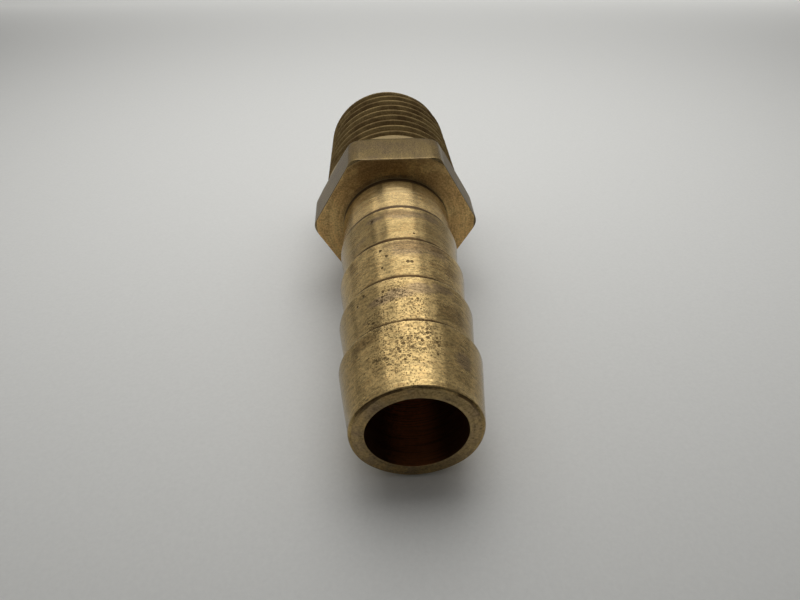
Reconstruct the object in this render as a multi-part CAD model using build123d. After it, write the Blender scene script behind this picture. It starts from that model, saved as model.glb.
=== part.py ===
"""Hose barb tail: a one-piece brass fitting turned from hexagon bar.

Along its axis it has a tapered male pipe thread, a hexagon collar for the wrench, a plain neck
and four barbs that a hose is pushed over. One straight waterway runs from end to end.

Frame: the axis lies along Y, with the barbs towards -Y and the thread towards +Y. The origin is on
the axis, in the face of the hexagon that looks at the hose. +Z is up and square to one flat of the
hexagon, so the fitting lies on the opposite flat. Lengths are in millimetres.
"""
import math
import os

from build123d import *

# Waterway
BORE_DIAMETER = 7.2
THREAD_END_COUNTERSINK = 0.3

# Hose tail: walls are measured outwards from the waterway, lengths along the axis
TIP_WALL = 1.12
TIP_EDGE_BREAK = 0.22
BARB_WALL = 1.2
BARB_RISE = 0.58
BARB_COUNT = 4
BARB_PITCH = 4.98
TIP_BARB_LENGTH = 5.58
NECK_WALL = 1.18
NECK_LENGTH = 5.6
NECK_FLARE = 0.28

# Hexagon collar, 9/16 inch across its flats, turned back less on the hose's side than on the thread's
ACROSS_FLATS = 14.29
COLLAR_LENGTH = 4.2
CORNER_ROUND = 1.2
HOSE_FACE_MARGIN = 0.75
THREAD_FACE_MARGIN = 0.55
CORNER_TURNING_ANGLE = 30.0

# Tapered pipe thread, 1/4 inch with 18 turns per inch: the diameter is over the crests
THREAD_END_DIAMETER = 13.26
THREAD_LENGTH = 14.2
THREAD_PITCH = 25.4 / 18
THREAD_TAPER = 1 / 16
THREAD_FLANK_ANGLE = 30.0
THREAD_CREST_FLAT = 0.1
THREAD_END_CHAMFER = 0.7

# Where the thread meets the collar: a plain land, a cone on which the groove runs out, and the place
# at the top of the collar's face, counted in turns of the groove
LAND_LENGTH = 0.45
RUNOUT_LENGTH = 1.0
GROOVE_PHASE = 0.13

# Worked out from the sizes above
bore_radius = BORE_DIAMETER / 2
tip_radius = bore_radius + TIP_WALL
valley_radius = bore_radius + BARB_WALL
ridge_radius = valley_radius + BARB_RISE
neck_radius = bore_radius + NECK_WALL
tip_edge_break = min(TIP_EDGE_BREAK, TIP_WALL / 2)
tail_length = TIP_BARB_LENGTH + (BARB_COUNT - 1) * BARB_PITCH + NECK_LENGTH
thread_end = COLLAR_LENGTH + THREAD_LENGTH
chamfer_start = thread_end - THREAD_END_CHAMFER
flank_slope = math.tan(math.radians(THREAD_FLANK_ANGLE))
thread_depth = (THREAD_PITCH - THREAD_CREST_FLAT) / (2 * flank_slope)


def turned(*points):
    """Revolve the closed outline through these radius and height points about the axis."""
    with BuildPart() as piece:
        with BuildSketch(Plane.XY):
            with BuildLine():
                Polyline(*points, close=True)
            make_face()
        revolve(axis=Axis.Y)
    return piece.part


def hose_tail():
    """Broken tip edge, saw-tooth barbs with their sharp ridges towards the collar, and flared neck."""
    tip = -tail_length
    first_ridge = tip + TIP_BARB_LENGTH
    ridges = [first_ridge + turn * BARB_PITCH for turn in range(BARB_COUNT)]

    points = [(0, tip), (tip_radius - tip_edge_break, tip), (tip_radius, tip + tip_edge_break)]
    for ridge in ridges[:-1]:
        points += [(ridge_radius, ridge), (valley_radius, ridge)]
    points += [(ridge_radius, ridges[-1]), (neck_radius, ridges[-1])]
    points += [(neck_radius, -NECK_FLARE), (neck_radius + NECK_FLARE, 0), (0, 0)]
    return turned(*points)


def collar():
    """Hexagon with flats up and down, its corners rounded and turned back by a cone at each face."""
    with BuildPart() as hexagon:
        with BuildSketch(Plane.XZ) as section:
            RegularPolygon(radius=ACROSS_FLATS / 2, side_count=6, major_radius=False)
            fillet(section.vertices(), CORNER_ROUND)
        extrude(amount=-COLLAR_LENGTH)

    slope = math.tan(math.radians(CORNER_TURNING_ANGLE))
    hose_face = ACROSS_FLATS / 2 + HOSE_FACE_MARGIN
    thread_face = ACROSS_FLATS / 2 + THREAD_FACE_MARGIN
    peak = (COLLAR_LENGTH / slope + hose_face + thread_face) / 2
    envelope = turned(
        (0, 0),
        (hose_face, 0),
        (peak, (peak - hose_face) * slope),
        (thread_face, COLLAR_LENGTH),
        (0, COLLAR_LENGTH),
    )
    return hexagon.part & envelope


def crest_radius(height):
    """Radius of the cone over the thread's crests, which narrows towards the thread's end."""
    return THREAD_END_DIAMETER / 2 + (chamfer_start - height) * THREAD_TAPER / 2


def thread_groove(start, end):
    """One V groove that climbs right-handed along the cone of the roots.

    Its flanks open to just past the crests. From there its sides are parallel, so that its turns
    stay clear of one another.
    """
    start_radius = crest_radius(start) - thread_depth
    path = Helix(
        pitch=THREAD_PITCH,
        height=end - start,
        radius=start_radius,
        center=(0, start, 0),
        direction=(0, 1, 0),
        cone_angle=-math.degrees(math.atan(THREAD_TAPER / 2)),
    )
    shoulder = thread_depth + 0.45 * THREAD_CREST_FLAT
    outside = thread_depth + THREAD_PITCH / 3
    mouth_half = shoulder * flank_slope
    across_groove = Plane(origin=(0, start, start_radius), x_dir=(0, 0, 1), z_dir=(1, 0, 0))
    with BuildSketch(across_groove) as section:
        with BuildLine():
            Polyline(
                (0, 0),
                (shoulder, -mouth_half),
                (outside, -mouth_half),
                (outside, mouth_half),
                (shoulder, mouth_half),
                close=True,
            )
        make_face()
    return sweep(section.sketch, path=path, is_frenet=True)


def thread():
    """Tapered thread: a long cone is grooved, trimmed by the end's chamfer, and run out.

    The cone starts inside the collar and ends past the thread, so that both ends of the groove
    lie in metal that is trimmed away or filled again.
    """
    groove_start = COLLAR_LENGTH + (GROOVE_PHASE - 1) * THREAD_PITCH
    groove_end = thread_end + THREAD_PITCH
    cone_start, cone_end = COLLAR_LENGTH / 2, groove_end + 2 * THREAD_PITCH
    cone = turned(
        (0, cone_start),
        (crest_radius(cone_start), cone_start),
        (crest_radius(cone_end), cone_end),
        (0, cone_end),
    )
    grooved = cone - thread_groove(groove_start, groove_end)

    end_radius = THREAD_END_DIAMETER / 2
    clear = THREAD_PITCH
    envelope = turned(
        (0, COLLAR_LENGTH),
        (crest_radius(COLLAR_LENGTH) + clear, COLLAR_LENGTH),
        (end_radius + clear, chamfer_start - clear),
        (end_radius - THREAD_END_CHAMFER, thread_end),
        (0, thread_end),
    )
    land_end = COLLAR_LENGTH + LAND_LENGTH
    runout_end = land_end + 1.1 * RUNOUT_LENGTH
    sunk_radius = crest_radius(runout_end) - 1.1 * thread_depth
    runout = turned(
        (0, COLLAR_LENGTH),
        (crest_radius(COLLAR_LENGTH), COLLAR_LENGTH),
        (crest_radius(land_end), land_end),
        (sunk_radius, runout_end),
        (0, runout_end),
    )
    return (grooved & envelope) + runout


def waterway():
    """Straight bore through the whole length, countersunk at the thread's end."""
    countersink = bore_radius + THREAD_END_COUNTERSINK
    return turned(
        (0, -tail_length),
        (bore_radius, -tail_length),
        (bore_radius, thread_end - THREAD_END_COUNTERSINK),
        (countersink, thread_end),
        (0, thread_end),
    )


def main():
    """Join the turned lengths, cut the waterway and write the fitting as one solid."""
    fitting = hose_tail() + collar() + thread() - waterway()
    os.makedirs("parts", exist_ok=True)
    export_step(fitting, "parts/hose_barb_tail.step")


main()
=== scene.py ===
"""Looks of a brass hose barb tail: a tapered pipe thread, a hexagon collar and a barbed hose tail.

The fitting lies along Y with its barbs towards -Y and its thread towards +Y. +Z is up and the
origin is on the axis, in the face of the collar that looks at the hose. Lengths are metres.
"""
import math

import bpy
import numpy as np
from mathutils import Matrix, Vector


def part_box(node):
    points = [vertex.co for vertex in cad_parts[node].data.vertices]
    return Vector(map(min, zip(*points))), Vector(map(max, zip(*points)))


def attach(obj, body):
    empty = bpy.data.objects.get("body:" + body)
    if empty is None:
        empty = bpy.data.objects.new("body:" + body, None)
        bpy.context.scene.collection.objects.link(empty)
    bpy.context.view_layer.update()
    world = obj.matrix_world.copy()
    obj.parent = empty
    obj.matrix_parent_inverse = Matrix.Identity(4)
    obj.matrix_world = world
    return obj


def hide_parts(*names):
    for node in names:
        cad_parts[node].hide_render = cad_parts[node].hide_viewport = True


bl_info = {
    "name": "Hose barb tail",
    "version": (1, 0, 0),
    "blender": (4, 5, 0),
    "location": "View3D > Sidebar > Hose tail",
    "description": "Builds a turned brass hose tail with its thread and worn finish, and a stage",
    "category": "Object",
}

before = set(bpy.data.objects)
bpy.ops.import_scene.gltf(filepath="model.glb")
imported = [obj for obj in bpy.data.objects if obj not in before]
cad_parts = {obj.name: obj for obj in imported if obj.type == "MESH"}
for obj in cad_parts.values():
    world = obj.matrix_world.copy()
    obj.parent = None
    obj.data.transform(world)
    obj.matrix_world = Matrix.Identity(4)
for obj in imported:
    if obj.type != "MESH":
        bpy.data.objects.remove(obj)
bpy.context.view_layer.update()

MM = 0.001
CAD_NODE = "hose_barb_tail"
node_low, node_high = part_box(CAD_NODE)

# Material slots of the fitting, in the order of FINISH_MAKERS
TURNED, FACED, DRAWN, THREADED, BORED = range(5)

LENGTH = {"unit": "LENGTH", "precision": 5}
COLOUR = {"subtype": "COLOR", "size": 3, "min": 0, "max": 1}


class FittingSizes(bpy.types.PropertyGroup):
    """Sizes of the fitting, of which the overall ones come from the frame."""

    tail_length: bpy.props.FloatProperty(
        name="Tail length",
        description="From the collar's face to the tip of the hose tail",
        default=-node_low.y,
        **LENGTH,
    )
    thread_end: bpy.props.FloatProperty(
        name="Thread end",
        description="From the collar's hose face to the end of the thread",
        default=node_high.y,
        **LENGTH,
    )
    across_flats: bpy.props.FloatProperty(
        name="Across flats",
        description="Size of the hexagon that the spanner takes",
        default=node_high.z - node_low.z,
        **LENGTH,
    )
    collar_length: bpy.props.FloatProperty(
        name="Collar length",
        description="Thickness of the hexagon collar along the axis",
        default=4.45 * MM,
        **LENGTH,
    )
    corner_round: bpy.props.FloatProperty(
        name="Corner round",
        description="Radius of the hexagon's six corners",
        default=1.2 * MM,
        **LENGTH,
    )
    hose_face_radius: bpy.props.FloatProperty(
        name="Hose face radius",
        description="Radius, at the collar's hose face, of the cone that turns its corners back",
        default=7.83 * MM,
        **LENGTH,
    )
    thread_face_radius: bpy.props.FloatProperty(
        name="Thread face radius",
        description="Radius, at the collar's thread face, of the cone that turns its corners back",
        default=7.45 * MM,
        **LENGTH,
    )
    bore_radius: bpy.props.FloatProperty(
        name="Bore radius",
        description="Radius of the waterway",
        default=3.6 * MM,
        **LENGTH,
    )
    tip_radius: bpy.props.FloatProperty(
        name="Tip radius",
        description="Radius of the hose tail at its tip",
        default=4.72 * MM,
        **LENGTH,
    )
    tip_round: bpy.props.FloatProperty(
        name="Tip rounding",
        description="Radius of the worn edge around the tip",
        default=0.2 * MM,
        **LENGTH,
    )
    valley_radius: bpy.props.FloatProperty(
        name="Valley radius",
        description="Radius at the small end of each barb",
        default=4.8 * MM,
        **LENGTH,
    )
    ridge_radius: bpy.props.FloatProperty(
        name="Ridge radius",
        description="Radius over the sharp edge of each barb",
        default=5.38 * MM,
        **LENGTH,
    )
    neck_radius: bpy.props.FloatProperty(
        name="Neck radius",
        description="Radius of the plain neck between the barbs and the collar",
        default=5.18 * MM,
        **LENGTH,
    )
    neck_fillet: bpy.props.FloatProperty(
        name="Neck fillet",
        description="Radius of the fillet where the neck meets the collar",
        default=0.04 * MM,
        **LENGTH,
    )
    tip_barb_length: bpy.props.FloatProperty(
        name="Tip barb length",
        description="From the tip to the first ridge",
        default=5.58 * MM,
        **LENGTH,
    )
    barb_pitch: bpy.props.FloatProperty(
        name="Barb pitch",
        description="From each ridge to the next",
        default=4.98 * MM,
        **LENGTH,
    )
    barb_count: bpy.props.IntProperty(
        name="Barbs",
        description="Number of barbs on the hose tail",
        default=4,
        min=1,
    )
    thread_end_radius: bpy.props.FloatProperty(
        name="Thread end radius",
        description="Radius over the crests where the end chamfer starts",
        default=6.63 * MM,
        **LENGTH,
    )
    thread_pitch: bpy.props.FloatProperty(
        name="Thread pitch",
        description="Advance of the thread in one turn",
        default=25.4 * MM / 18,
        **LENGTH,
    )
    thread_chamfer: bpy.props.FloatProperty(
        name="Thread end chamfer",
        description="Length of the lead-in chamfer at the thread's end",
        default=0.7 * MM,
        **LENGTH,
    )


class FittingColours(bpy.types.PropertyGroup):
    """Colours of the metal where it is clean, dulled and tarnished."""

    clean: bpy.props.FloatVectorProperty(
        name="Clean brass",
        description="Brass rubbed clean on the ridges and the neck",
        default=(0.40, 0.288, 0.125),
        **COLOUR,
    )
    dulled: bpy.props.FloatVectorProperty(
        name="Dulled brass",
        description="Brass under a thin film, as on most of the tail",
        default=(0.30, 0.213, 0.09),
        **COLOUR,
    )
    tarnished: bpy.props.FloatVectorProperty(
        name="Tarnished brass",
        description="Brown film on the thread and on the collar's faces",
        default=(0.15, 0.095, 0.038),
        **COLOUR,
    )
    oxide: bpy.props.FloatVectorProperty(
        name="Oxide",
        description="Greyish purple patches on the barbs",
        default=(0.185, 0.130, 0.072),
        **COLOUR,
    )
    pit: bpy.props.FloatVectorProperty(
        name="Pits",
        description="Bottom of the small dark pits",
        default=(0.05, 0.03, 0.013),
        **COLOUR,
    )
    # Dark reddish colour of grime, also used as painted shade in the steps behind the ridges
    dirt_and_shade: bpy.props.FloatVectorProperty(
        name="Dirt",
        description="Dark reddish dirt under the ridges and around the tip",
        default=(0.035, 0.017, 0.007),
        **COLOUR,
    )
    amber: bpy.props.FloatVectorProperty(
        name="Amber film",
        description="Orange brown film at the sides of the faces",
        default=(0.27, 0.172, 0.068),
        **COLOUR,
    )
    bore: bpy.props.FloatVectorProperty(
        name="Bore",
        description="Dark reddish wall of the waterway",
        default=(0.40, 0.14, 0.04),
        **COLOUR,
    )


class StageSettings(bpy.types.PropertyGroup):
    """Floor, light and camera around the fitting."""

    floor_colour: bpy.props.FloatVectorProperty(
        name="Floor",
        description="Colour of the floor",
        default=(0.74, 0.74, 0.715),
        **COLOUR,
    )
    room_strength: bpy.props.FloatProperty(
        name="Room light",
        description="Brightness of the room level with the stage, halfway from front to back",
        default=0.36,
        min=0,
    )
    room_slope: bpy.props.FloatVectorProperty(
        name="Room slope",
        description="How much brighter the room is towards +X, +Y and +Z",
        default=(-0.06, 0.24, 0.0),
        size=3,
    )
    room_shade: bpy.props.FloatProperty(
        name="Room shade",
        description="Share of the room's light that doesn't reach matt surfaces",
        default=0.45,
        min=0,
        max=1,
    )
    panel_height: bpy.props.FloatProperty(
        name="Panel height",
        description="Height of the lamps over the stage",
        default=0.25,
        unit="LENGTH",
    )
    panel_glow: bpy.props.FloatProperty(
        name="Panel glow",
        description="Brightness of the middle panel, where 1 is white",
        default=1.9,
        min=0,
    )
    camera_place: bpy.props.FloatVectorProperty(
        name="Camera place",
        description="Where the camera stands",
        default=(-3.98 * MM, -53.01 * MM, 33.96 * MM),
        subtype="TRANSLATION",
        unit="LENGTH",
        size=3,
        precision=5,
    )
    camera_aim: bpy.props.FloatVectorProperty(
        name="Camera aim",
        description="Point that the camera looks at",
        default=(-0.305 * MM, -11.82 * MM, 0.0),
        subtype="TRANSLATION",
        unit="LENGTH",
        size=3,
        precision=5,
    )
    camera_roll: bpy.props.FloatProperty(
        name="Camera roll",
        description="Turn of the camera about its line of sight",
        default=math.radians(2.633),
        subtype="ANGLE",
    )
    swing: bpy.props.FloatProperty(
        name="Swing",
        description="Turn of the camera and the lamps about the fitting's axis",
        default=math.radians(2.0),
        subtype="ANGLE",
    )
    camera_lens: bpy.props.FloatProperty(
        name="Camera lens",
        description="Focal length in millimetres on a sensor 36 mm wide",
        default=28.27,
        min=1,
    )


# ---------------------------------------------------------------------------------------------
# Shapes: arrays of radius and station along the axis, one row for each ring of the surface
# ---------------------------------------------------------------------------------------------

COLUMNS = 276
CORNER_CROWDING = 0.7
LAND_LENGTH = 0.95 * MM
RUNOUT_LENGTH = 0.35 * MM
THREAD_TAPER = 1 / 16
THREAD_DEPTH_SHARE = 0.78
CREST_SHARE = 0.03
CREST_STATION = 13.55 * MM
TURN_PHASES = (0, 0.03, 0.08, 0.2, 0.32, 0.43, 0.47, 0.5, 0.53, 0.57, 0.68, 0.8, 0.92, 0.97)
FLANK_EASE = 0.2
EDGE_BREAK = 0.07 * MM
EDGE_ROUND = 0.05 * MM
COUNTERSINK = 0.3 * MM
RIDGE_DROP = 0.03 * MM
RIDGE_ROUND = 0.07 * MM
VALLEY_ROUND = 0.12 * MM
NICK_DEPTH = 0.03 * MM
NICK_START = 0.9
UNEVENNESS = 0.006 * MM
STEEPEST_WAVE = 9.0 / 5
ROUND_STEPS = 3
ROUND_LIMIT = 0.45
GUARD_SHARE = 0.04
ROWS_A_ROUND = ROUND_STEPS + 3
QUARTER_TURN = np.linspace(0, np.pi / 2, 7)


def column_angles():
    """Angles about the axis from +Z towards +X, crowded near the six corners of the hexagon.

    With u from 0 to 6 the angle is 60 degrees times u + a sin(2 pi u) / (2 pi), so its spacing is
    1 + a at the middle of a flat and 1 - a at a corner.
    """
    turn = np.arange(COLUMNS) * 6 / COLUMNS
    bend = CORNER_CROWDING * np.sin(2 * np.pi * turn) / (2 * np.pi)
    return np.radians(60) * (turn + bend)


def wander(angles, stations, seed, waves=7):
    """Smooth irregularity between about -1 and 1: a sum of sines of angle and station.

    Each wave goes a whole number of times round the axis, so it meets itself. Along the axis it
    turns by up to STEEPEST_WAVE radians a millimetre.
    """
    dice = np.random.default_rng(seed)
    total = 0.0
    for _ in range(waves):
        around = dice.integers(1, 8)
        along = dice.uniform(-1, 1) * STEEPEST_WAVE / MM
        total = total + np.sin(around * angles + along * stations + dice.uniform(0, 2 * np.pi))
    return total / math.sqrt(waves)


def soft_corners(corners, rounds):
    """Profile through corners with each one rounded by a quadratic curve.

    corners is an array of (corner, column, radius and station). At a corner the curve leaves and
    rejoins the straight lines at the round's length, or at ROUND_LIMIT of the shorter line. One
    more row on each side, GUARD_SHARE of the line further on, keeps the curve's shading off the
    line, so that a corner takes ROWS_A_ROUND rows.
    """
    rows = [corners[0]]
    for here in range(1, len(corners) - 1):
        before = corners[here - 1] - corners[here]
        after = corners[here + 1] - corners[here]
        reach_before = np.linalg.norm(before, axis=1, keepdims=True)
        reach_after = np.linalg.norm(after, axis=1, keepdims=True)
        cut = np.minimum(rounds[here], ROUND_LIMIT * np.minimum(reach_before, reach_after))
        start = corners[here] + before / reach_before * cut
        end = corners[here] + after / reach_after * cut
        rows.append(start + GUARD_SHARE * before)
        for step in range(ROUND_STEPS + 1):
            t = step / ROUND_STEPS
            rows.append((1 - t) ** 2 * start + 2 * t * (1 - t) * corners[here] + t**2 * end)
        rows.append(end + GUARD_SHARE * after)
    rows.append(corners[-1])
    return np.array(rows)


def divided(rows, longest):
    """The same profile with extra rows, so that no gap between rows is longer than that."""
    out = [rows[:1]]
    for start, end in zip(rows[:-1], rows[1:]):
        gap = np.linalg.norm(end - start, axis=1).max()
        parts = max(1, math.ceil(gap / longest))
        shares = np.linspace(0, 1, parts + 1)[1:, None, None]
        out.append(start + shares * (end - start))
    return np.concatenate(out)


def ring(radius, station):
    """One row at a radius and a station, either of which may change from column to column."""
    return np.stack(np.broadcast_arrays(radius, station, np.zeros(COLUMNS))[:2], axis=-1)


def hexagon_radius(angles, across, corner_round):
    """Distance from the axis to a hexagon with flats up and down and round corners.

    On a flat it is half the size across flats / cos(angle from the flat's middle). Within a corner
    it is the far side of a circle of the corner's radius, whose centre lies on the corner's line.
    """
    sector = np.radians(60)
    offset = np.abs(np.mod(angles + sector / 2, sector) - sector / 2)
    centre = (across / 2 - corner_round) / math.cos(sector / 2)
    flat_end = math.atan(centre * math.sin(sector / 2) / (across / 2))
    turn = sector / 2 - offset
    beyond = np.sqrt(np.maximum(corner_round**2 - (centre * np.sin(turn)) ** 2, 0))
    return np.where(offset < flat_end, across / 2 / np.cos(offset), centre * np.cos(turn) + beyond)


def crest_radius(sizes, stations):
    """Cone over the thread's crests, which narrows by 1 in 16 on the diameter towards the end."""
    chamfer_start = sizes.thread_end - sizes.thread_chamfer
    return sizes.thread_end_radius + (chamfer_start - stations) * THREAD_TAPER / 2


def thread_radius(sizes, stations, angles):
    """Right-hand pipe thread: flanks at about 30 degrees between a small crest and a small root.

    The phase counts turns from a crest: (station - a crest's station) / pitch - angle / 360.
    Towards the collar the root climbs to the crest, and the lead-in chamfer cuts the other end.
    """
    phase = (stations - CREST_STATION) / sizes.thread_pitch - angles / (2 * np.pi)
    from_crest = np.abs(phase - np.round(phase))
    flank = np.clip((from_crest - CREST_SHARE) / (0.5 - 2 * CREST_SHARE), 0, 1)
    eased = 0.5 - 0.5 * np.cos(np.pi * flank)
    rounded = (1 - FLANK_EASE) * flank + FLANK_EASE * eased
    depth = THREAD_DEPTH_SHARE * sizes.thread_pitch
    crest = crest_radius(sizes, stations)
    cut = crest - depth * rounded

    into_thread = (stations - sizes.collar_length - LAND_LENGTH) / RUNOUT_LENGTH
    root = crest - depth * np.clip(into_thread, 0, 1)
    chamfer_start = sizes.thread_end - sizes.thread_chamfer
    lead_in = sizes.thread_end_radius - (stations - chamfer_start)
    return np.minimum(np.maximum(cut, root), lead_in)


class Surface:
    """Rows of rings that close on themselves, gathered with the finish of each band."""

    def __init__(self, angles):
        self.angles = angles
        self.points = []
        self.count = 0
        self.faces = []
        self.finishes = []
        self.last_row = None
        self.first_row = None

    def place(self, rows):
        """Adds rows of (radius, station) and returns the numbers of their vertices."""
        radius, station = rows[..., 0], rows[..., 1]
        x, z = radius * np.sin(self.angles), radius * np.cos(self.angles)
        self.points.append(np.stack([x, station, z], axis=-1).reshape(-1, 3))
        numbers = self.count + np.arange(rows.shape[0] * COLUMNS).reshape(-1, COLUMNS)
        self.count += numbers.size
        return numbers

    def skin(self, near, far, finish):
        """Two triangles for each cell between rows near and far, less those with no area."""
        a, b = near[:, :-1].ravel(), near[:, 1:].ravel()
        c, d = far[:, 1:].ravel(), far[:, :-1].ravel()
        faces = np.concatenate([np.stack([a, b, c], 1), np.stack([a, c, d], 1)])
        first, second, third = faces.T
        whole = (first != second) & (second != third) & (first != third)
        self.faces.append(faces[whole])
        self.finishes.append(np.full(int(whole.sum()), finish))

    def band(self, rows, finish):
        """Adds rows that follow on from the last one."""
        numbers = self.place(rows)
        if self.first_row is None:
            self.first_row = numbers[0]
        else:
            numbers = np.vstack([self.last_row, numbers])
        looped = np.hstack([numbers, numbers[:, :1]])
        self.skin(looped[:-1], looped[1:], finish)
        self.last_row = numbers[-1]

    def helix(self, start, end, stations, radii, end_row, finish, rows_a_turn):
        """Adds rows that climb one turn of the thread each time round.

        Cells that lie before the start or past the end shrink onto those two flat rings. The
        column after the last one is the first column, a whole turn of rows further on.
        """
        end_numbers = self.place(end_row[None])[0]
        numbers = self.place(np.stack([radii, stations], axis=-1))
        numbers = np.where(stations <= start, self.last_row, numbers)
        numbers = np.where(stations >= end, end_numbers, numbers)
        turned = np.hstack([numbers[:-rows_a_turn], numbers[rows_a_turn:, :1]])
        self.skin(turned[:-1], turned[1:], finish)
        self.last_row = end_numbers

    def close(self, finish):
        """Joins the last row to the first one."""
        near = np.append(self.last_row, self.last_row[0])[None]
        far = np.append(self.first_row, self.first_row[0])[None]
        self.skin(near, far, finish)

    def mesh(self, name):
        """Mesh of all the bands, without the vertices that no face uses."""
        points = np.concatenate(self.points)
        faces = np.concatenate(self.faces)
        used, faces = np.unique(faces, return_inverse=True)
        faces = faces.reshape(-1, 3)
        mesh = bpy.data.meshes.new(name)
        mesh.vertices.add(len(used))
        mesh.vertices.foreach_set("co", points[used].ravel())
        mesh.loops.add(faces.size)
        mesh.loops.foreach_set("vertex_index", faces.ravel().astype(np.int32))
        mesh.polygons.add(len(faces))
        mesh.polygons.foreach_set("loop_start", np.arange(0, faces.size, 3, dtype=np.int32))
        mesh.polygons.foreach_set("material_index", np.concatenate(self.finishes).astype(np.int32))
        mesh.polygons.foreach_set("use_smooth", np.ones(len(faces), dtype=bool))
        mesh.update(calc_edges=True)
        mesh.validate()
        return mesh


def tip_rows(sizes, angles):
    """End face from the bore outwards, then the worn edge, a little wider in some places."""
    tip = -sizes.tail_length
    worn = sizes.tip_round * (1 + 0.25 * wander(angles, 0, seed=3))
    face = np.stack([
        ring(sizes.bore_radius, tip),
        ring(sizes.bore_radius + 0.04 * MM, tip),
        ring(0.5 * (sizes.bore_radius + sizes.tip_radius), tip),
        ring(sizes.tip_radius - worn - 0.02 * MM, tip),
    ])
    turn = QUARTER_TURN[:, None]
    radius = sizes.tip_radius - worn * (1 - np.sin(turn))
    station = tip + worn * (1 - np.cos(turn))
    return face, np.stack([radius, station], axis=-1)


def barb_rows(sizes, angles):
    """Saw-tooth barbs: each cone widens to a ridge and drops square to the next cone's small end.

    The ridges are eased by wear and nicked a little, and the cones are barely uneven.
    """
    tip_ridge = sizes.tip_barb_length - sizes.tail_length
    ridges = tip_ridge + np.arange(sizes.barb_count) * sizes.barb_pitch
    corners = [ring(sizes.tip_radius, -sizes.tail_length + 1.3 * sizes.tip_round)]
    rounds = [0]
    for number, ridge in enumerate(ridges):
        last = number == sizes.barb_count - 1
        foot = sizes.neck_radius if last else sizes.valley_radius
        worn = wander(angles, 0, seed=20 + number, waves=9)
        nicks = NICK_DEPTH * np.clip(worn - NICK_START, 0, 1)
        corners += [ring(sizes.ridge_radius - nicks, ridge), ring(foot, ridge + RIDGE_DROP)]
        rounds += [RIDGE_ROUND, VALLEY_ROUND]
    corners += [ring(sizes.neck_radius, -sizes.neck_fillet)]
    rounds += [0]
    rows = divided(soft_corners(np.array(corners), rounds), 1.0 * MM)
    rows[..., 0] += UNEVENNESS * wander(angles, rows[..., 1], seed=5)
    return rows


def fillet_rows(sizes):
    """Quarter circle from the neck out to the collar's face."""
    turn = QUARTER_TURN[1:]
    radius = sizes.neck_radius + sizes.neck_fillet * (1 - np.cos(turn))
    station = -sizes.neck_fillet * (1 - np.sin(turn))
    return np.stack([ring(r, s) for r, s in zip(radius, station)])


def collar_rows(sizes, angles):
    """Hexagon collar in four bands: hose face, its turned-back corners, flats and thread face.

    At each face the outline is the smaller of the hexagon and the turning circle, and the cone
    from that circle out to the flats leans back by 30 degrees. The thread face's band holds its
    turned-back corners too.
    """
    length = sizes.collar_length
    outline = hexagon_radius(angles, sizes.across_flats, sizes.corner_round)

    def turned_back(face_radius):
        at_face = np.minimum(outline, face_radius) - EDGE_BREAK
        reach = np.maximum(outline - face_radius, 0) * math.tan(math.radians(30)) + EDGE_BREAK
        return at_face, reach

    hose_face, hose_reach = turned_back(sizes.hose_face_radius)
    thread_face, thread_reach = turned_back(sizes.thread_face_radius)
    corners = np.array([
        ring(sizes.neck_radius + sizes.neck_fillet + 0.02 * MM, 0.0),
        ring(hose_face, 0.0),
        ring(outline, hose_reach),
        ring(outline, length - thread_reach),
        ring(thread_face, length),
        ring(crest_radius(sizes, length), length),
    ])
    rows = soft_corners(corners, [0] + [EDGE_ROUND] * 4 + [0])
    flat_start, flat_end = 1 + ROWS_A_ROUND, 3 * ROWS_A_ROUND
    return (
        divided(rows[:2], 0.5 * MM)[:-1],
        rows[1:flat_start],
        divided(rows[flat_start : flat_end + 1], 0.7 * MM),
        rows[flat_end + 1 :],
    )


def thread_rows(sizes, angles):
    """Rows that follow the thread: station = crest + pitch times (turns + angle / 360)."""
    start = sizes.collar_length + LAND_LENGTH
    pitch = sizes.thread_pitch
    first = math.floor((start - CREST_STATION) / pitch) - 1
    last = math.ceil((sizes.thread_end - CREST_STATION) / pitch) + 2
    turns = (np.arange(first, last)[:, None] + np.array(TURN_PHASES)).ravel()
    stations = CREST_STATION + pitch * (turns[:, None] + angles / (2 * np.pi))
    held = np.clip(stations, start, sizes.thread_end)
    return start, held, thread_radius(sizes, held, angles)


def fitting_mesh(sizes):
    """Whole skin of the fitting as one closed surface, from the bore's mouth round to it again."""
    angles = column_angles()
    surface = Surface(angles)

    face, edge = tip_rows(sizes, angles)
    surface.band(face, FACED)
    surface.band(edge, TURNED)
    surface.band(barb_rows(sizes, angles), TURNED)
    surface.band(fillet_rows(sizes), TURNED)

    hose_face, hose_edge, flats, thread_face = collar_rows(sizes, angles)
    surface.band(hose_face, FACED)
    surface.band(hose_edge, FACED)
    surface.band(flats, DRAWN)
    surface.band(thread_face, FACED)

    start, stations, radii = thread_rows(sizes, angles)
    surface.band(ring(crest_radius(sizes, start), start)[None], THREADED)
    end = sizes.thread_end
    end_row = ring(thread_radius(sizes, np.full(COLUMNS, end), angles), end)
    surface.helix(start, end, stations, radii, end_row, THREADED, len(TURN_PHASES))

    mouth = sizes.bore_radius + COUNTERSINK
    end_face = np.stack([
        ring(end_row[:, 0] - 0.03 * MM, end),
        ring(0.5 * (end_row[:, 0] + mouth), end),
        ring(mouth + 0.03 * MM, end),
    ])
    surface.band(end_face, FACED)
    bore = np.array([
        ring(mouth, end),
        ring(sizes.bore_radius, end - COUNTERSINK),
        ring(sizes.bore_radius, -sizes.tail_length + 0.04 * MM),
    ])
    surface.band(divided(bore, 3 * MM), BORED)
    surface.close(BORED)
    return surface.mesh("hose_tail_skin")


# ---------------------------------------------------------------------------------------------
# Finishes
# ---------------------------------------------------------------------------------------------


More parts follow.
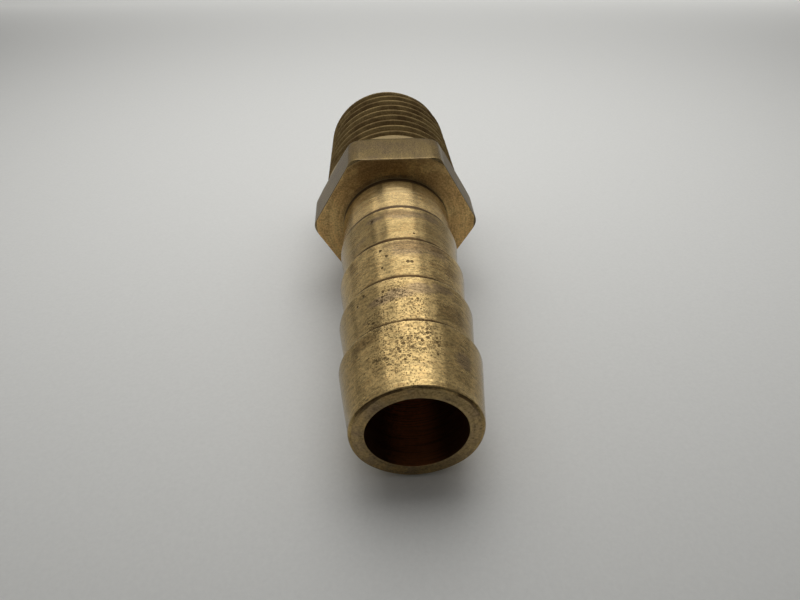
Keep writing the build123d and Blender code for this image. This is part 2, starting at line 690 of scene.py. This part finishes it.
class Value:
    """A number that flows through a material, so that finishes read as plain sums."""

    def __init__(self, finish, socket):
        self.finish = finish
        self.socket = socket

    def math(self, operation, *others):
        return self.finish.math(operation, self, *others)

    def __add__(self, other):
        return self.math("ADD", other)

    __radd__ = __add__

    def __mul__(self, other):
        return self.math("MULTIPLY", other)

    __rmul__ = __mul__

    def __sub__(self, other):
        return self.math("SUBTRACT", other)

    def __rsub__(self, other):
        return self.finish.math("SUBTRACT", other, self)

    def __truediv__(self, other):
        return self.math("DIVIDE", other)

    def __pow__(self, other):
        return self.math("POWER", other)

    def __abs__(self):
        return self.math("ABSOLUTE")

    def above(self, low, high):
        """0 below low, 1 above high, and a smooth climb between them."""
        return self.finish.ramp(self, low, high)

    def below(self, low, high):
        """1 below low, 0 above high, and a smooth fall between them."""
        return 1 - self.above(low, high)


def opaque(colour):
    """A colour of three numbers with full alpha. The output of a node stays as it is."""
    if isinstance(colour, bpy.types.NodeSocket):
        return colour
    return tuple(colour) + (1,)


class Shading:
    """A node tree in which finishes are written as sums of values."""

    def __init__(self, tree):
        self.tree = tree

    def node(self, kind, settings=None, inputs=None):
        """A node with its settings made first and then its sockets' values or links."""
        node = self.tree.nodes.new(kind)
        for name, value in (settings or {}).items():
            setattr(node, name, value)
        for key, value in (inputs or {}).items():
            self.feed(node.inputs[key], value)
        return node

    def feed(self, socket, value):
        """Links a socket to a value, or sets it."""
        if isinstance(value, Value):
            value = value.socket
        if isinstance(value, bpy.types.NodeSocket):
            self.tree.links.new(value, socket)
        else:
            socket.default_value = value

    def math(self, operation, *values):
        node = self.node("ShaderNodeMath", {"operation": operation}, dict(enumerate(values)))
        return Value(self, node.outputs[0])

    def most(self, value, *others):
        """Largest of several values."""
        for other in others:
            value = self.math("MAXIMUM", value, other)
        return value

    def ramp(self, value, low, high):
        inputs = {0: value, 1: low, 2: high, 3: 0.0, 4: 1.0}
        node = self.node("ShaderNodeMapRange", {"interpolation_type": "SMOOTHSTEP"}, inputs)
        return Value(self, node.outputs[0])

    def point(self, x, y, z):
        """A place or a grey colour, from three numbers or values."""
        return self.node("ShaderNodeCombineXYZ", inputs={0: x, 1: y, 2: z}).outputs[0]

    def noise(self, place, scale, detail=3.0, roughness=0.55, distortion=0.0):
        inputs = {
            "Vector": place,
            "Scale": scale,
            "Detail": detail,
            "Roughness": roughness,
            "Distortion": distortion,
        }
        return Value(self, self.node("ShaderNodeTexNoise", inputs=inputs).outputs[0])

    def cells(self, place, scale):
        """Distance to the nearest of many scattered points, and a number of each one's own."""
        node = self.node("ShaderNodeTexVoronoi", inputs={"Vector": place, "Scale": scale})
        split = self.node("ShaderNodeSeparateColor", inputs={0: node.outputs["Color"]})
        return Value(self, node.outputs["Distance"]), Value(self, split.outputs[0])

    def blend(self, share, first, second):
        """Colour that goes from first to second as share goes from 0 to 1."""
        settings = {"data_type": "RGBA", "blend_type": "MIX"}
        inputs = {0: share, 6: opaque(first), 7: opaque(second)}
        return self.node("ShaderNodeMix", settings, inputs).outputs[2]

    def shade(self, colour, amount):
        """Colour made darker or lighter by a value."""
        settings = {"data_type": "RGBA", "blend_type": "MULTIPLY"}
        inputs = {0: 1.0, 6: opaque(colour), 7: self.point(amount, amount, amount)}
        return self.node("ShaderNodeMix", settings, inputs).outputs[2]


class Finish(Shading):
    """One material, which reads places on the fitting in millimetres."""

    def __init__(self, name):
        self.material = bpy.data.materials.new(name)
        self.material.use_nodes = True
        super().__init__(self.material.node_tree)
        self.tree.nodes.clear()
        place = self.node("ShaderNodeTexCoord").outputs["Object"]
        split = self.node("ShaderNodeSeparateXYZ", inputs={0: place})
        self.x, self.y, self.z = (Value(self, part) * (1 / MM) for part in split.outputs)
        self.radius = (self.x**2 + self.z**2) ** 0.5
        self.angle = self.math("ARCTAN2", self.x, self.z)
        self.place = self.point(self.x, self.y, self.z)

    def stretched(self, across, along):
        """The place scaled by one number across the axis and by another along it."""
        return self.point(self.x * across, self.y * along, self.z * across)

    def away(self, station, angle, around, along):
        """Distance over the skin from a mark, in reaches round the axis and along it."""
        turned = (self.angle - math.radians(angle)) * self.radius / around
        passed = (self.y - station) / along
        return (turned**2 + passed**2) ** 0.5

    def stains(self, places, ragged):
        """1 in the middle of ovals at (station, angle, reach round, reach along) and 0 outside."""
        total = 0.0
        for place in places:
            away = self.away(*place) + (ragged - 0.5) * 1.5
            total = self.most(total, away.below(0.45, 1.0))
        return total

    def holes(self, places):
        """1 in round pits at (station, angle, radius) and 0 outside."""
        nearest = 10.0
        for station, angle, radius in places:
            nearest = self.math("MINIMUM", nearest, self.away(station, angle, radius, radius))
        return nearest.below(0.6, 1.1)

    def metal(self, colour, roughness, height, metallic=1.0, glance=(0.85, 0.82, 0.76)):
        """Metal surface with a height in millimetres as its bump.

        Glance is the tint of what it mirrors where it is seen edge on.
        """
        raised = {"Strength": 1.0, "Distance": 1.0, "Height": height * MM}
        bump = self.node("ShaderNodeBump", inputs=raised)
        inputs = {
            "Base Color": colour,
            "Metallic": metallic,
            "Roughness": roughness,
            "Specular Tint": glance + (1,),
            "Normal": bump.outputs[0],
        }
        surface = self.node("ShaderNodeBsdfPrincipled", inputs=inputs)
        self.node("ShaderNodeOutputMaterial", inputs={0: surface.outputs[0]})
        return self.material


def rings_along(finish, fineness, drift=0.2):
    """Turning marks: noise squeezed along the axis and drawn out round it."""
    return finish.noise(finish.stretched(drift, fineness), 1.0, detail=2.0)


def pits(finish, scale, crowd, radius):
    """Small round pits: 1 inside and 0 outside, more and larger of them where crowd is high."""
    distance, own = finish.cells(finish.place, scale)
    return finish.ramp(own * crowd * radius - distance, 0.0, 0.08)


# Marks on the tail: stations in millimetres and angles in degrees from +Z towards +X
DULL_STAINS = (
    (-6.5, 2, 2.6, 0.75), (-6.6, -24, 1.2, 0.5), (-6.3, 30, 1.2, 0.7), (-11.5, 4, 2.4, 1.1),
    (-11.4, 28, 2.0, 1.0), (-17.5, -24, 1.3, 0.6), (-17.1, -8, 1.6, 0.7), (-16.7, 10, 1.6, 0.75),
    (-16.4, 28, 1.4, 0.6), (-23.1, 43, 1.0, 0.9),
)
DARK_STAINS = (
    (-11.6, -52, 0.9, 0.8), (-18.4, 42, 1.9, 1.3), (-13.0, 48, 1.5, 1.0), (-21.3, -40, 1.4, 0.6),
    (-11.2, 8, 2.6, 0.8), (-11.1, 28, 1.6, 0.6), (-6.3, -2, 2.0, 0.45),
)
ROUND_PITS = (
    (-6.7, -28, 0.16), (-11.5, -21, 0.15), (-12.3, -16, 0.13), (-13.2, 2.7, 0.15),
    (-13.2, 6.3, 0.14), (-13.5, -21, 0.12), (-16.7, -21, 0.13), (-17.2, -22, 0.12),
    (-16.2, -39, 0.15), (-16.8, -47, 0.13), (-17.65, -23, 0.12), (-22.0, -9, 0.11),
    (-23.4, 18, 0.1), (-9.0, 12, 0.1), (-3.2, 24, 0.09),
)
# Middles of the two barbs nearest to the collar
COLLAR_BARB, NEXT_BARB = -8.1, -13.0


def turned_finish(sizes, colours):
    """Neck and barbs: dulled brass rubbed clean in streaks, with stains, pits and grime.

    Painted shade lies behind each ridge, and painted light and shade in a few other places.
    """
    f = Finish("turned_brass")
    marks = rings_along(f, 6.0)
    fine_marks = rings_along(f, 15.0, drift=0.8)
    streaks = f.noise(f.stretched(0.5, 3.2), 1.0, detail=4.0, roughness=0.65)
    mottle = f.noise(f.stretched(0.45, 1.3), 0.8, detail=5.0, roughness=0.62)
    grain = f.noise(f.place, 6.5, detail=4.0, roughness=0.75)
    dents = f.noise(f.stretched(0.8, 1.8), 3.0, detail=4.0, roughness=0.72)
    patches = f.noise(f.stretched(0.5, 1.1), 0.9, detail=6.0, roughness=0.7, distortion=0.6)

    tip = -sizes.tail_length / MM
    tip_ridge = tip + sizes.tip_barb_length / MM
    pitch = sizes.barb_pitch / MM
    neck_ridge = tip_ridge + (sizes.barb_count - 1) * pitch
    neck = f.y.above(neck_ridge, neck_ridge + 0.3)
    foot = f.y.above(-0.06, -0.02)
    collar_barb = abs(f.y - COLLAR_BARB).below(2.2, 2.5)
    next_barb = abs(f.y - NEXT_BARB).below(2.2, 2.7)

    # Painted shade and grime lie in the step past each ridge, and the metal just before it is
    # rubbed clean
    from_tip_ridge = f.y - tip_ridge
    past = f.math("WRAP", from_tip_ridge, pitch, 0.0)
    barbed = f.y.above(tip_ridge - 0.18, tip_ridge - 0.08)
    dirt_and_shade = past - from_tip_ridge * 0.03 + neck * 0.5 + (mottle - 0.5) * 0.4
    dirt_and_shade = dirt_and_shade.below(0.6, 0.8) * barbed
    rubbed = past.above(pitch - 0.16, pitch - 0.05) * f.y.below(neck_ridge - 0.02, neck_ridge)

    speckled = f.noise(f.place, 0.42, detail=2.0)
    worn_top = f.away(-21.0, -8, around=3.4, along=6.5).below(0.55, 1.1)
    crowd = worn_top * 0.85 + speckled.above(0.42, 0.62) * (0.45 - neck * 0.3)
    fine_pits = pits(f, 7.5, crowd, radius=0.6)
    small_pits = pits(f, 3.0, crowd * speckled.above(0.4, 0.7), radius=0.4)
    pitted = f.most(fine_pits * 0.7, small_pits, f.holes(ROUND_PITS))

    blotches = f.noise(f.stretched(0.7, 2.0), 1.5, detail=6.0, roughness=0.78).above(0.47, 0.6)
    blotches = blotches * (0.45 + f.y.above(-10.8, -9.5) * 0.2 + next_barb * 0.2)
    clean = mottle.above(0.36, 0.66) * (0.45 + marks * 0.55)
    dull = f.stains(DULL_STAINS, patches)
    dark = f.stains(DARK_STAINS, patches)
    oxide = f.most(patches.above(0.56, 0.7) * 0.5 * (1 - neck * 0.6), dull * 0.8)
    colour = f.blend(clean, colours.dulled, colours.clean)
    colour = f.blend((dents + grain).above(1.06, 1.3) * 0.7, colour, colours.amber)
    colour = f.blend(blotches, colour, f.shade(colours.amber, 1 - next_barb * 0.25))
    colour = f.blend(oxide, colour, colours.oxide)
    colour = f.blend(dark * 0.6, colour, colours.tarnished)
    colour = f.blend(rubbed, colour, colours.clean)
    calm = 1 - (neck + collar_barb) * 0.3
    uneven = (grain - 0.5) * 2.4 * calm + (dents - 0.5) * 2.2 * calm + (streaks - 0.5) * 0.9
    colour = f.shade(colour, 1 + uneven)

    # Painted light and shade, with f.angle in radians: a painted highlight on the tip barb's left,
    # painted light on the sides of the two barbs nearest the collar and on the neck's flanks,
    # a painted highlight along the neck's top by the collar and a painted shade on the left of the
    # barb nearest the collar. These two barbs are also darker in the middle
    painted_highlight_spot = f.away(-23.2, -30, around=1.9, along=2.8).below(0.5, 1.1)
    painted_shade_spot = f.away(-8.0, -22, around=0.9, along=2.9).below(0.65, 1.0) * collar_barb
    painted_light_sides = abs(f.angle).above(0.3, 0.42)
    flanks = neck * abs(abs(f.angle) - 0.66).below(0.22, 0.34)
    neck_top = f.y.above(-3.4, -1.2)
    painted_neck_highlight = neck_top * f.away(0, 0.5, around=1.5, along=99).below(0.9, 1.0)
    tone = 1 + painted_highlight_spot * 0.3 - next_barb * (0.14 - painted_light_sides * 0.38)
    tone = tone - collar_barb * (0.17 - painted_light_sides * 0.1) - painted_shade_spot * 0.3
    colour = f.shade(colour, tone + flanks * 0.6 + painted_neck_highlight * 0.6)

    tip_edge = f.y.below(tip + 0.06, tip + 0.1) * f.z.above(1.0, 3.0) * mottle.above(0.36, 0.5)
    colour = f.blend(f.most(dirt_and_shade * 0.9, tip_edge * 0.85), colour, colours.dirt_and_shade)
    colour = f.blend(foot * 0.8, colour, colours.clean)
    colour = f.blend(pitted * 0.85, colour, colours.pit)

    roughness = 0.1 + grain * 0.08 + oxide * 0.1 + pitted * 0.2 + dirt_and_shade * 0.2 + foot * 0.2
    flare = neck * (f.y - neck_ridge) * 0.13
    height = marks * (0.008 + neck * 0.012) + fine_marks * (0.005 + neck * 0.004) + streaks * 0.015
    height = height + grain * 0.004 + dents * 0.006 - pitted * 0.035 + flare
    metallic = 1 - neck * 0.2 - neck_top * 0.3 - foot * 0.3
    return f.metal(colour, roughness, height, metallic)


def faced_finish(sizes, colours):
    """Faces square to the axis: brown film over the fine rings that the tool left."""
    f = Finish("faced_brass")
    marks = f.noise(f.point(f.radius * 5.0, f.x * 0.12, f.z * 0.12), 1.0, detail=3.0)
    film = f.noise(f.place, 0.42, detail=5.0, roughness=0.6)
    grain = f.noise(f.place, 5.5, detail=4.0, roughness=0.7)
    mottle = f.noise(f.place, 1.1, detail=6.0, roughness=0.75)
    collar = f.y.above(-2.0, -1.0)
    sides = abs(f.x).above(2.0 + collar * 0.5, 4.5 + collar * 2.0)

    tip_tone = f.blend(film.above(0.35, 0.7), colours.dulled, colours.oxide)
    amber_share = film.below(0.4, 0.52) * f.x.below(-1.0, 1.0) * 0.7
    tip_tone = f.blend(amber_share, tip_tone, colours.amber)
    collar_tone = f.blend(sides, colours.tarnished, colours.amber)
    collar_tone = f.blend(film.above(0.45, 0.62) * 0.6, collar_tone, colours.dulled)
    collar_tone = f.blend(mottle.above(0.5, 0.62) * 0.65, collar_tone, colours.tarnished)
    colour = f.blend(collar, tip_tone, collar_tone)
    colour = f.shade(colour, 1 + (grain - 0.5) * 2.4 + (marks - 0.5) * 1.0)
    # Painted light makes the tip's face lighter at its sides
    colour = f.shade(colour, 1.12 + collar * 0.95 + (1 - collar) * sides * 0.45)

    # Dirt around the upper half of the tip's rim
    rim_start = sizes.tip_radius / MM - 0.3
    rim = f.radius + (grain - 0.5) * 0.2 + (film - 0.5) * 0.4 + f.x.below(-4.0, -2.0) * 0.1
    rim = rim.above(rim_start, rim_start + 0.08) * (1 - collar) * f.z.above(1.0, 3.0)
    colour = f.blend(rim * 0.8, colour, colours.dirt_and_shade)
    return f.metal(colour, 0.3 + grain * 0.12, marks * 0.008 + grain * 0.008, metallic=0.85)


def drawn_finish(sizes, colours):
    """Flats of the collar: dull drawn bar with faint streaks along the axis."""
    f = Finish("drawn_brass")
    streaks = f.noise(f.stretched(5.0, 0.5), 1.0, detail=3.0)
    film = f.noise(f.place, 0.6, detail=5.0, roughness=0.6)
    grain = f.noise(f.place, 7.0, detail=2.0)
    lines = f.noise(f.stretched(0.3, 5.0), 1.0, detail=3.0, roughness=0.7)

    # Sideways from the middle come the upper flat, a corner and a slanted flat. The corners and the
    # left flat are lighter with painted light, and the right one is rougher
    flat_end = (sizes.across_flats / 2 - sizes.corner_round) / MM * math.tan(math.radians(30))
    slant_start = flat_end + sizes.corner_round / MM * math.sin(math.radians(60))
    side = abs(f.x)
    corner = side.above(flat_end + 0.07, flat_end + 0.32)
    corner = corner * side.below(slant_start - 0.07, slant_start + 0.28)
    slanted = side.above(slant_start - 0.27, slant_start + 0.33)
    left = f.x.below(-slant_start - 0.33, -slant_start + 0.27)
    right = f.x.above(slant_start - 0.27, slant_start + 0.33)

    colour = f.blend(film.above(0.35, 0.7) * 0.6, colours.dulled, colours.oxide)
    colour = f.shade(colour, 0.62 + (streaks - 0.5) * 0.4 + (grain - 0.5) * 0.9)
    colour = f.shade(colour, 1 + slanted * (lines - 0.5) * 2.4 + left * 0.35 + corner * 0.45)
    roughness = 0.12 + film * 0.08 + right * 0.25
    height = streaks * 0.002 + grain * 0.002
    return f.metal(colour, roughness, height, 0.8 - right * 0.3, glance=(0.44, 0.43, 0.42))


def threaded_finish(sizes, colours):
    """Thread: brown film, clean on the land by the collar and darker in the groove next to it."""
    f = Finish("threaded_brass")
    film = f.noise(f.place, 0.5, detail=5.0, roughness=0.6)
    grain = f.noise(f.place, 6.0, detail=4.0, roughness=0.7)
    chamfer_start = (sizes.thread_end - sizes.thread_chamfer) / MM
    crest = sizes.thread_end_radius / MM + (chamfer_start - f.y) * (THREAD_TAPER / 2)
    depth = crest - f.radius
    thread_start = (sizes.collar_length + LAND_LENGTH) / MM
    land = f.y.below(thread_start - 0.2, thread_start) * depth.below(0.05, 0.15)
    last_groove = f.y.below(thread_start + 0.8, thread_start + 1.6) * depth.above(0.3, 0.7)

    colour = f.blend(film.above(0.35, 0.7), colours.dulled, colours.tarnished)
    colour = f.blend(land, colour, f.shade(colours.clean, 1.05))
    colour = f.shade(colour, 0.95 + (grain - 0.5) * 1.5)
    colour = f.blend(last_groove * 0.6, colour, colours.dirt_and_shade)
    roughness = 0.5 + grain * 0.12 - land * 0.15
    metallic = 0.72 - land * 0.25
    return f.metal(colour, roughness, grain * 0.009, metallic, glance=(0.75, 0.66, 0.5))


def bored_finish(sizes, colours):
    """Waterway: dark reddish film over the fine rings of the drill, plain brown further in."""
    f = Finish("bored_brass")
    marks = rings_along(f, 8.0, drift=0.3)
    grain = f.noise(f.place, 4.0)
    inward = f.y + sizes.tail_length / MM
    mouth = inward.below(1.12, 5.12)
    beyond = inward.above(9.12, 14.12)
    sides = abs(f.x + (grain - 0.5)).above(0.6, 2.4) * (1 - beyond)

    film = f.blend(marks.above(0.4, 0.75) * 0.6, colours.bore, colours.dirt_and_shade)
    film = f.blend(beyond, film, colours.tarnished)
    # Painted shade at the sides and deep in, with a painted reflection down the middle; the wall is
    # darker near the mouth too
    share = (1 + (grain - 0.5) * 0.8) * (1 - sides * 0.82) * (1.5 - mouth * 0.95 - beyond * 0.8)
    return f.metal(f.shade(film, share), 0.3 + grain * 0.1, marks * 0.02, metallic=0.25)


FINISH_MAKERS = (turned_finish, faced_finish, drawn_finish, threaded_finish, bored_finish)


# ---------------------------------------------------------------------------------------------
# Operators
# ---------------------------------------------------------------------------------------------


class MakeFitting(bpy.types.Operator):
    """Build the brass fitting and put it in place of the plain one"""

    bl_idname = "hose_tail.fitting"
    bl_label = "Brass fitting"

    def execute(self, context):
        sizes = context.scene.hose_tail_sizes
        colours = context.scene.hose_tail_colours
        mesh = fitting_mesh(sizes)
        for maker in FINISH_MAKERS:
            mesh.materials.append(maker(sizes, colours))
        fitting = bpy.data.objects.new("brass_hose_tail", mesh)
        context.scene.collection.objects.link(fitting)
        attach(fitting, "root")
        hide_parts(CAD_NODE)
        return {"FINISHED"}


def floor_lie(sizes):
    """Height of the floor under the collar's hose face, and its slope along the axis.

    The fitting leans on the collar's lower edge and on the ridge nearest the tip.
    """
    height = -sizes.across_flats / 2
    reach = sizes.tail_length - sizes.tip_barb_length
    slope = (-sizes.ridge_radius - height) / reach
    return height, -slope


def floor_finish(colour):
    """Matt pale floor with a faint grain and painted light, which darkens away from the fitting.

    With x and y in decimetres, held to 1.3 each way and to -0.5 and 1.7, its share of the colour is
    1.22 + 0.01 x + 0.39 y - 0.76 x x - 1.1 y y + 0.04 x y + 0.46 y y y + 0.46 x x y + 0.05 x x x,
    and never less than half. Further out it fades to 0.9.
    """
    f = Finish("pale_floor")
    near_x, near_y = f.x * 0.01, f.y * 0.01
    x = f.math("MINIMUM", f.math("MAXIMUM", near_x, -1.3), 1.3)
    y = f.math("MINIMUM", f.math("MAXIMUM", near_y, -0.5), 1.7)
    share = 1.22 + y * (0.39 + y * (y * 0.46 - 1.1))
    share = share + x * (0.01 + y * 0.04 + x * (y * 0.46 + x * 0.05 - 0.76))
    far = (near_x**2 + (near_y - 0.6) ** 2) ** 0.5
    far = far.above(1.7, 3.2)
    share = f.math("MAXIMUM", share, 0.5) * (1 - far) + far * 0.9
    grain = f.noise(f.place, 3.0, detail=3.0, roughness=0.7)
    shade = f.shade(colour, share * (1 + (grain - 0.5) * 0.12))
    surface = f.node(
        "ShaderNodeBsdfPrincipled",
        inputs={"Base Color": shade, "Roughness": 0.6, "Specular IOR Level": 0.2},
    )
    f.node("ShaderNodeOutputMaterial", inputs={0: surface.outputs[0]})
    return f.material


# Lamps overhead: edges as shares of their height, and glow as a share of the middle one's
PANELS = (
    ("left_panel", -1.0, -0.37, 0.47),
    ("panel", -0.36, 0.5, 1.0),
    ("right_panel", 0.51, 1.0, 0.3),
)
PANEL_NEAR, PANEL_FAR = 0.1, 1.87
ROOM_COLOUR = (1.0, 0.99, 0.97, 1)
FLOOR_REACH = 1.5


class MakeStage(bpy.types.Operator):
    """Lay the floor, light it and set up the camera"""

    bl_idname = "hose_tail.stage"
    bl_label = "Stage"

    def execute(self, context):
        scene = context.scene
        sizes = scene.hose_tail_sizes
        stage = scene.hose_tail_stage
        self.lay_floor(scene, sizes, stage)
        self.light(scene, stage)
        self.set_camera(scene, stage)
        scene.view_settings.view_transform = "Standard"
        return {"FINISHED"}

    def lay_floor(self, scene, sizes, stage):
        height, slope = floor_lie(sizes)
        reach = FLOOR_REACH
        corners = [(-reach, -reach), (reach, -reach), (reach, reach), (-reach, reach)]
        points = [(x, y, height + slope * y) for x, y in corners]
        mesh = bpy.data.meshes.new("floor")
        mesh.from_pydata(points, [], [(0, 1, 2, 3)])
        mesh.materials.append(floor_finish(stage.floor_colour))
        floor = bpy.data.objects.new("floor", mesh)
        scene.collection.objects.link(floor)

    def light(self, scene, stage):
        world = bpy.data.worlds.new("room")
        world.use_nodes = True
        world.node_tree.nodes.clear()
        room = Shading(world.node_tree)
        towards = room.node("ShaderNodeTexCoord").outputs["Generated"]
        both = {0: towards, 1: stage.room_slope}
        lean = room.node("ShaderNodeVectorMath", {"operation": "DOT_PRODUCT"}, both)
        strength = Value(room, lean.outputs["Value"]) + stage.room_strength
        matt = Value(room, room.node("ShaderNodeLightPath").outputs["Is Diffuse Ray"])
        strength = strength * (1 - matt * stage.room_shade)
        inputs = {"Color": ROOM_COLOUR, "Strength": strength}
        background = room.node("ShaderNodeBackground", inputs=inputs)
        room.node("ShaderNodeOutputWorld", inputs={0: background.outputs[0]})
        scene.world = world

        for name, left, right, share in PANELS:
            lamp = bpy.data.lights.new(name, "AREA")
            lamp.shape = "RECTANGLE"
            height = stage.panel_height
            lamp.size = (right - left) * height
            lamp.size_y = (PANEL_FAR - PANEL_NEAR) * height
            lamp.energy = stage.panel_glow * share * math.pi * lamp.size * lamp.size_y
            panel = bpy.data.objects.new(name, lamp)
            place = ((left + right) / 2 * height, (PANEL_NEAR + PANEL_FAR) / 2 * height, height)
            panel.matrix_world = Matrix.Rotation(stage.swing, 4, "Y") @ Matrix.Translation(place)
            scene.collection.objects.link(panel)

    def set_camera(self, scene, stage):
        place, aim = Vector(stage.camera_place), Vector(stage.camera_aim)
        turn = (aim - place).to_track_quat("-Z", "Y").to_matrix()
        turn = turn @ Matrix.Rotation(stage.camera_roll, 3, "Z")
        data = bpy.data.cameras.new("camera")
        data.sensor_width = 36
        data.lens = stage.camera_lens
        data.clip_start = 1 * MM
        camera = bpy.data.objects.new("camera", data)
        swung = Matrix.Rotation(stage.swing, 4, "Y")
        camera.matrix_world = swung @ Matrix.Translation(place) @ turn.to_4x4()
        scene.collection.objects.link(camera)
        scene.camera = camera


class HoseTailPanel(bpy.types.Panel):
    """Lists the pieces of the fitting and its stage"""

    bl_idname = "VIEW3D_PT_hose_tail"
    bl_label = "Hose tail"
    bl_space_type = "VIEW_3D"
    bl_region_type = "UI"
    bl_category = "Hose tail"

    def draw(self, context):
        for maker in MAKERS:
            self.layout.operator(maker.bl_idname)


MAKERS = (MakeFitting, MakeStage)
SETTINGS = {
    "hose_tail_sizes": FittingSizes,
    "hose_tail_colours": FittingColours,
    "hose_tail_stage": StageSettings,
}


def register():
    for group in SETTINGS.values():
        bpy.utils.register_class(group)
    for maker in MAKERS:
        bpy.utils.register_class(maker)
    bpy.utils.register_class(HoseTailPanel)
    for name, group in SETTINGS.items():
        setattr(bpy.types.Scene, name, bpy.props.PointerProperty(type=group))


def unregister():
    for name in SETTINGS:
        delattr(bpy.types.Scene, name)
    bpy.utils.unregister_class(HoseTailPanel)
    for maker in reversed(MAKERS):
        bpy.utils.unregister_class(maker)
    for group in reversed(SETTINGS.values()):
        bpy.utils.unregister_class(group)


def main():
    """Build everything in order."""
    register()
    bpy.ops.hose_tail.fitting()
    bpy.ops.hose_tail.stage()


if __name__ == "__main__":
    main()
